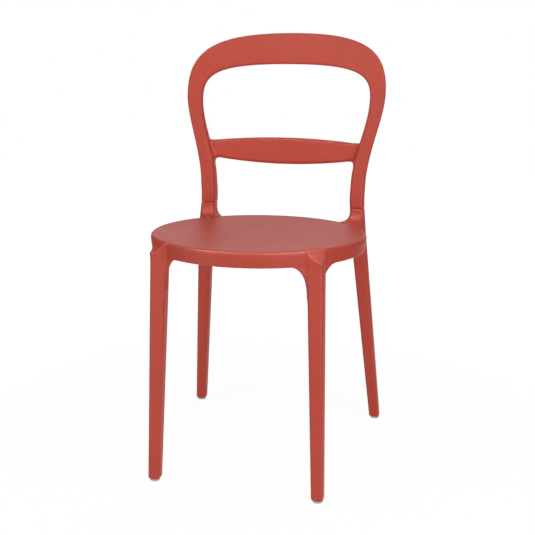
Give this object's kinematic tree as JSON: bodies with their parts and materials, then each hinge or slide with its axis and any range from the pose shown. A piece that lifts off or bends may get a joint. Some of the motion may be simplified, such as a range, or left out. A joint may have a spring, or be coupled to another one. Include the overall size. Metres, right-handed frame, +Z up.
{
  "type": "side chair",
  "caption": "Moulded plastic stacking side chair with a round dished seat, tapered legs and an omega-shaped open back with a lumbar rail.",
  "frame": {"origin": "on the floor, under the middle of the chair's bounding box", "axes": "+Z up, -Y towards the front of the chair, +X towards its right side as seen from the front"},
  "size_m": [0.4332, 0.4524, 0.8331],
  "materials": {
    "red_plastic": "satin terracotta-red moulded polypropylene",
    "pale_glide": "pale grey moulded polyethylene",
    "zinc_steel": "zinc-plated steel",
    "brass": "turned brass"
  },
  "bodies": {
    "root": {"seat_frame": "red_plastic", "backrest_hoop": "red_plastic", "glide_front_left": "pale_glide", "glide_front_right": "pale_glide", "glide_rear_left": "pale_glide", "glide_rear_right": "pale_glide", "screw_left": "zinc_steel", "screw_right": "zinc_steel", "washer_left": "zinc_steel", "washer_right": "zinc_steel", "insert_left": "brass", "insert_right": "brass"}
  },
  "joints": []
}
